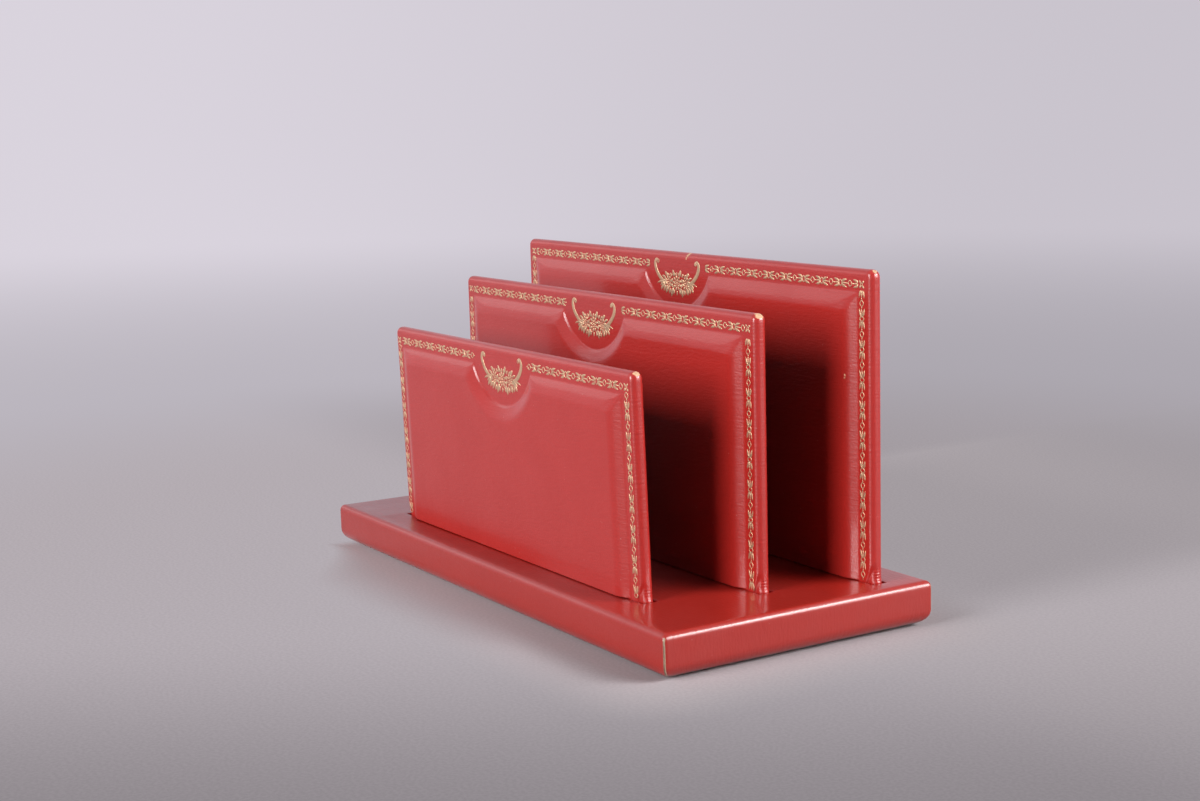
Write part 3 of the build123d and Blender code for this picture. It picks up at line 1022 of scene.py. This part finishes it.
class HOLDER_OT_leaf_linings(bpy.types.Operator):
    """Builds the linings at the backs of the three leaves"""

    bl_idname = "letter_holder.leaf_linings"
    bl_label = "Leaf linings"

    def execute(self, context):
        settings = context.scene.letter_holder
        leather = lining_leather(settings)
        for leaf in leaves(settings.leaf):
            name, under = leaf.name + "_lining_sheet", [leaf.name + "_lining"]
            make_piece(name, *lining_sheet(leaf, settings.leaf), leather, "red_lining", under)
        return {"FINISHED"}


class HOLDER_OT_base_cover(bpy.types.Operator):
    """Builds the leather over the base"""

    bl_idname = "letter_holder.base_cover"
    bl_label = "Base cover"

    def execute(self, context):
        settings = context.scene.letter_holder
        cover = base_cover(leaves(settings.leaf), settings.base, settings.leaf.groove)
        # The base's leather: a darker copy, partly painted shade
        leather = red_leather(settings, "base_red_leather", settings.finish.seam, settings.finish.base_painted_shade)
        make_piece("base_cover", *cover, leather, "red_leather", ["base_leather"])
        return {"FINISHED"}


class HOLDER_OT_gilt_borders(bpy.types.Operator):
    """Builds the gilt borders of the three leaves"""

    bl_idname = "letter_holder.gilt_borders"
    bl_label = "Gilt borders"

    def execute(self, context):
        settings = context.scene.letter_holder
        for leaf in leaves(settings.leaf):
            points, quads = border(leaf, settings.leaf, settings.gilt)
            make_piece(leaf.name + "_gilt_border", points, quads, {}, gold_leaf(settings), "gilding")
        return {"FINISHED"}


class HOLDER_OT_gilt_sprays(bpy.types.Operator):
    """Builds the gilt sprays in the three notches"""

    bl_idname = "letter_holder.gilt_sprays"
    bl_label = "Gilt sprays"

    def execute(self, context):
        settings = context.scene.letter_holder
        for leaf in leaves(settings.leaf):
            points, quads = spray(leaf, settings.leaf, settings.gilt)
            make_piece(leaf.name + "_gilt_spray", points, quads, {}, gold_leaf(settings), "gilding")
        return {"FINISHED"}


class HOLDER_OT_inner_finishes(bpy.types.Operator):
    """Gives the boards, cards and felt inside the leather their finishes"""

    bl_idname = "letter_holder.inner_finishes"
    bl_label = "Inner finishes"

    def execute(self, context):
        f = context.scene.letter_holder.finish
        wood = kept("planed_wood", fibre_finish, tuple(f.wood), (0.12, 1, 1), 700.0, 0.6)
        card = kept("pulp_card", fibre_finish, tuple(f.card), (1, 1, 1), 900.0, 0.85)
        felt = kept("wool_felt", fibre_finish, tuple(f.felt), (1, 1, 1), 1500.0, 0.95)
        inner = {"base_board": wood, "base_felt": felt}
        for leaf in LEAF_NAMES:
            inner[leaf + "_board"] = wood
            inner[leaf + "_raised_card"] = card
        for name, material in inner.items():
            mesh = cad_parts[name].data
            mesh.materials.clear()
            mesh.materials.append(material)
        return {"FINISHED"}


def add_turned(name, data, right, upward, back, place):
    """Adds an object with its axes and its place."""
    matrix = np.eye(4)
    matrix[:3] = np.stack([right, upward, back, place], 1)
    made = bpy.data.objects.new(name, data)
    bpy.context.scene.collection.objects.link(made)
    made.matrix_world = matrix.T.tolist()
    return made


def camera_view(settings):
    """The camera, from its place, yaw, pitch and roll."""
    cos_p, sin_p = math.cos(settings.pitch), math.sin(settings.pitch)
    ahead = np.array([math.sin(settings.yaw) * cos_p, math.cos(settings.yaw) * cos_p, -sin_p])
    level = np.array([math.cos(settings.yaw), -math.sin(settings.yaw), 0])
    upward = np.cross(level, ahead)
    cos_r, sin_r = math.cos(settings.roll), math.sin(settings.roll)
    axes = cos_r * level + sin_r * upward, cos_r * upward - sin_r * level, -ahead
    data = bpy.data.cameras.new("photo_camera")
    data.lens, data.sensor_width, data.sensor_fit = settings.lens, FRAME_WIDTH, "HORIZONTAL"
    data.shift_x, data.shift_y, data.clip_start = settings.shift_x, settings.shift_y, 0.01
    bpy.context.scene.camera = add_turned("photo_camera", data, *axes, settings.camera)


def soft_light(name, place, aim, width, height, watts):
    """A rectangular light at a place, turned towards its aim."""
    data = bpy.data.lights.new(name, "AREA")
    data.shape, data.size, data.size_y, data.energy = "RECTANGLE", width, height, watts
    back = np.array(place, float) - np.array(aim, float)
    back /= np.linalg.norm(back)
    level = np.cross([0, 0, 1], back)
    level /= np.linalg.norm(level)
    add_turned(name, data, level, np.cross(back, level), back, place)


def painted_backdrop_tone(tree, ahead, backdrop):
    """The pale distance, by the direction to it, with painted light: a little brighter at the left and darker
    at the right.
    """
    way = vectors(tree, "NORMALIZE", vectors(tree, "MULTIPLY", ahead, (1.0, 1.0, 0.0)))
    aside = vectors(tree, "DOT_PRODUCT", way, (0.56, 0.83, 0.0), "Value")
    left, right = (tuple(share * c for c in backdrop) for share in (1.07, 0.90))
    return mixed(tree, between(tree, aside, -0.36, 0.25), left, right)


def seen_directly(tree):
    """1 for rays from the camera and off glossy or clear surfaces, and 0 for light from matt surfaces."""
    path = node(tree, "ShaderNodeLightPath").outputs
    bounced = maths(tree, "MAXIMUM", path["Is Glossy Ray"], path["Is Transmission Ray"])
    return maths(tree, "MAXIMUM", path["Is Camera Ray"], bounced)


def floor_with_painted_light(name, floor, painted_glow_colour, backdrop, reach):
    """A matt floor that takes the holder's shadow close by and behind it, painted brighter at the left and
    darker at the right and at the back. Further out in front, and over the side light's shadow, it is seen in
    a painted glow, darker nearby and with a painted shadow behind the holder, and far away it fades into the
    pale backdrop."""
    material = bpy.data.materials.new(name)
    material.use_nodes = True
    tree = material.node_tree
    tree.nodes.clear()
    place = object_place(tree)
    x, y, _ = node(tree, "ShaderNodeSeparateXYZ", {0: place}).outputs
    speckle = between(tree, noise(tree, place, 900.0, 2.0), 0.3, 0.7, 0.955, 1.045)
    away = vectors(tree, "LENGTH", place, outlet="Value")
    past = vectors(tree, "SUBTRACT", vectors(tree, "ABSOLUTE", place), reach)
    beside = vectors(tree, "LENGTH", vectors(tree, "MAXIMUM", past), outlet="Value")

    # The matt floor, with painted light and shade: brighter at the left, darker at the right, and darker at
    # the back
    across = between(tree, vectors(tree, "DOT_PRODUCT", place, (1.0, 0.27, 0.0), "Value"), -0.16, 0.28)
    tone = mixed(tree, across, tuple(1.15 * c for c in floor), tuple(0.66 * c for c in floor))
    tone = mixed(tree, between(tree, y, 0.25, 0.40, 0.0, 0.30), tone, (0, 0, 0))
    matt = node(tree, "ShaderNodeBsdfDiffuse", {"Color": vectors(tree, "MULTIPLY", tone, speckle)})

    # The glow's tone, with painted shade towards the camera and a painted shadow behind the holder
    nearby = vectors(tree, "DOT_PRODUCT", place, (-0.827, 0.561, 0.0), "Value")
    painted_glow_tone = mixed(tree, between(tree, nearby, -0.26, -0.06), tuple(0.6 * c for c in painted_glow_colour), painted_glow_colour)
    behind = maths(tree, "MULTIPLY", between(tree, y, 0.02, 0.12), between(tree, x, 0.14, 0.09, 0.0, 0.19))
    painted_glow_tone = mixed(tree, behind, painted_glow_tone, (0, 0, 0))
    plain = node(tree, "ShaderNodeEmission", {"Color": painted_glow_tone, "Strength": speckle})

    # Where the glow shows, as painted light over the side light's shadow: in front and at the left, from the
    # foot of the base outwards
    by_front, by_left = between(tree, y, 0.06, -0.02, 0.65, 1.0), between(tree, x, -0.09, -0.15)
    fade = between(tree, x, -0.12, -0.06, 0.008, 0.04)
    out = between(tree, beside, 0.0, fade)
    painted_glow_share = maths(tree, "MULTIPLY", maths(tree, "MAXIMUM", by_front, by_left), out)
    past_end = maths(tree, "MULTIPLY", between(tree, x, -0.113, -0.126), between(tree, y, -0.03, -0.05))
    painted_glow_share = maths(tree, "MAXIMUM", painted_glow_share, past_end)

    # The far floor, which takes the backdrop's tone, painted darker where it is nearer the holder
    far = between(tree, away, 0.4, 2.2, 0.70, 1.0)
    glow = node(tree, "ShaderNodeEmission", {"Color": painted_backdrop_tone(tree, place, backdrop), "Strength": far})
    seen, blend = seen_directly(tree), matt.outputs[0]
    for share, tint in ((painted_glow_share, plain), (between(tree, away, 0.26, 0.62), glow)):
        factor = maths(tree, "MULTIPLY", seen, share)
        blend = node(tree, "ShaderNodeMixShader", {0: factor, 1: blend, 2: tint.outputs[0]}).outputs[0]
    node(tree, "ShaderNodeOutputMaterial", {"Surface": blend})
    return material


def floor_disc(material):
    """A round floor: rings of growing radius, closed in the middle."""
    turn = np.linspace(0, 2 * math.pi, 96, endpoint=False)
    radii = np.array([0.3, 0.6, 1.2, 3.0, 8.0, 30.0])[:, None]
    points = np.stack([radii * np.cos(turn), radii * np.sin(turn), 0 * radii * turn], -1).reshape(-1, 3)
    index = np.arange(len(points)).reshape(len(radii), len(turn))
    quads = np.concatenate([band_quads(index), cap_quads(index[0, ::-1])])
    mesh = bpy.data.meshes.new("floor")
    mesh.from_pydata(points.tolist(), [], quads.tolist())
    mesh.materials.append(material)
    floor = bpy.data.objects.new("floor", mesh)
    bpy.context.scene.collection.objects.link(floor)


def pale_world(ambient, backdrop):
    """The surroundings: the pale backdrop as it is seen, painted brighter at the left and darker at the right,
    and a weak light from all round.
    """
    world = bpy.data.worlds.new("studio")
    bpy.context.scene.world = world
    world.use_nodes = True
    tree = world.node_tree
    tree.nodes.clear()
    strength = between(tree, seen_directly(tree), 0, 1, ambient, 1.0)
    tone = painted_backdrop_tone(tree, node(tree, "ShaderNodeTexCoord").outputs["Generated"], backdrop)
    sky = node(tree, "ShaderNodeBackground", {"Color": tone, "Strength": strength})
    node(tree, "ShaderNodeOutputWorld", {"Surface": sky.outputs[0]})


class HOLDER_OT_stage(bpy.types.Operator):
    """Sets up the floor, the light and the camera"""

    bl_idname = "letter_holder.stage"
    bl_label = "Stage"

    def execute(self, context):
        settings = context.scene.letter_holder
        stage, f = settings.stage, settings.finish
        corner, backdrop = BASE_BOX[1], tuple(f.backdrop)
        tones = tuple(f.floor), tuple(f.floor_painted_glow), backdrop
        floor_disc(floor_with_painted_light("pale_floor", *tones, (corner.x, corner.y, 1.0)))
        for name, place, aim, width, height in LIGHTS:
            soft_light(name + "_light", place, aim, width, height, getattr(stage, name))
        pale_world(stage.ambient, backdrop)
        context.scene.view_settings.view_transform = "Standard"
        camera_view(stage)
        return {"FINISHED"}


class HOLDER_PT_panel(bpy.types.Panel):
    """Lists the steps that dress the letter holder"""

    bl_idname = "HOLDER_PT_panel"
    bl_label = "Letter holder"
    bl_space_type = "VIEW_3D"
    bl_region_type = "UI"
    bl_category = "Letter holder"

    def draw(self, context):
        for step in STEPS:
            self.layout.operator(step.bl_idname)


STEPS = (
    HOLDER_OT_stage,
    HOLDER_OT_base_cover,
    HOLDER_OT_leaf_covers,
    HOLDER_OT_leaf_linings,
    HOLDER_OT_gilt_borders,
    HOLDER_OT_gilt_sprays,
    HOLDER_OT_inner_finishes,
)
CLASSES = (LeafSizes, BaseSizes, GiltSizes, Finishes, StageSettings, LetterHolder, *STEPS, HOLDER_PT_panel)


def register():
    """Registers the classes and the settings that they use."""
    for item in CLASSES:
        bpy.utils.register_class(item)
    bpy.types.Scene.letter_holder = PointerProperty(type=LetterHolder)


def unregister():
    """Takes the settings and the classes away again."""
    del bpy.types.Scene.letter_holder
    for item in reversed(CLASSES):
        bpy.utils.unregister_class(item)


def main():
    """Dresses the holder."""
    register()
    bpy.ops.letter_holder.stage()
    bpy.ops.letter_holder.base_cover()
    bpy.ops.letter_holder.leaf_covers()
    bpy.ops.letter_holder.leaf_linings()
    bpy.ops.letter_holder.gilt_borders()
    bpy.ops.letter_holder.gilt_sprays()
    bpy.ops.letter_holder.inner_finishes()


if __name__ == "__main__":
    main()
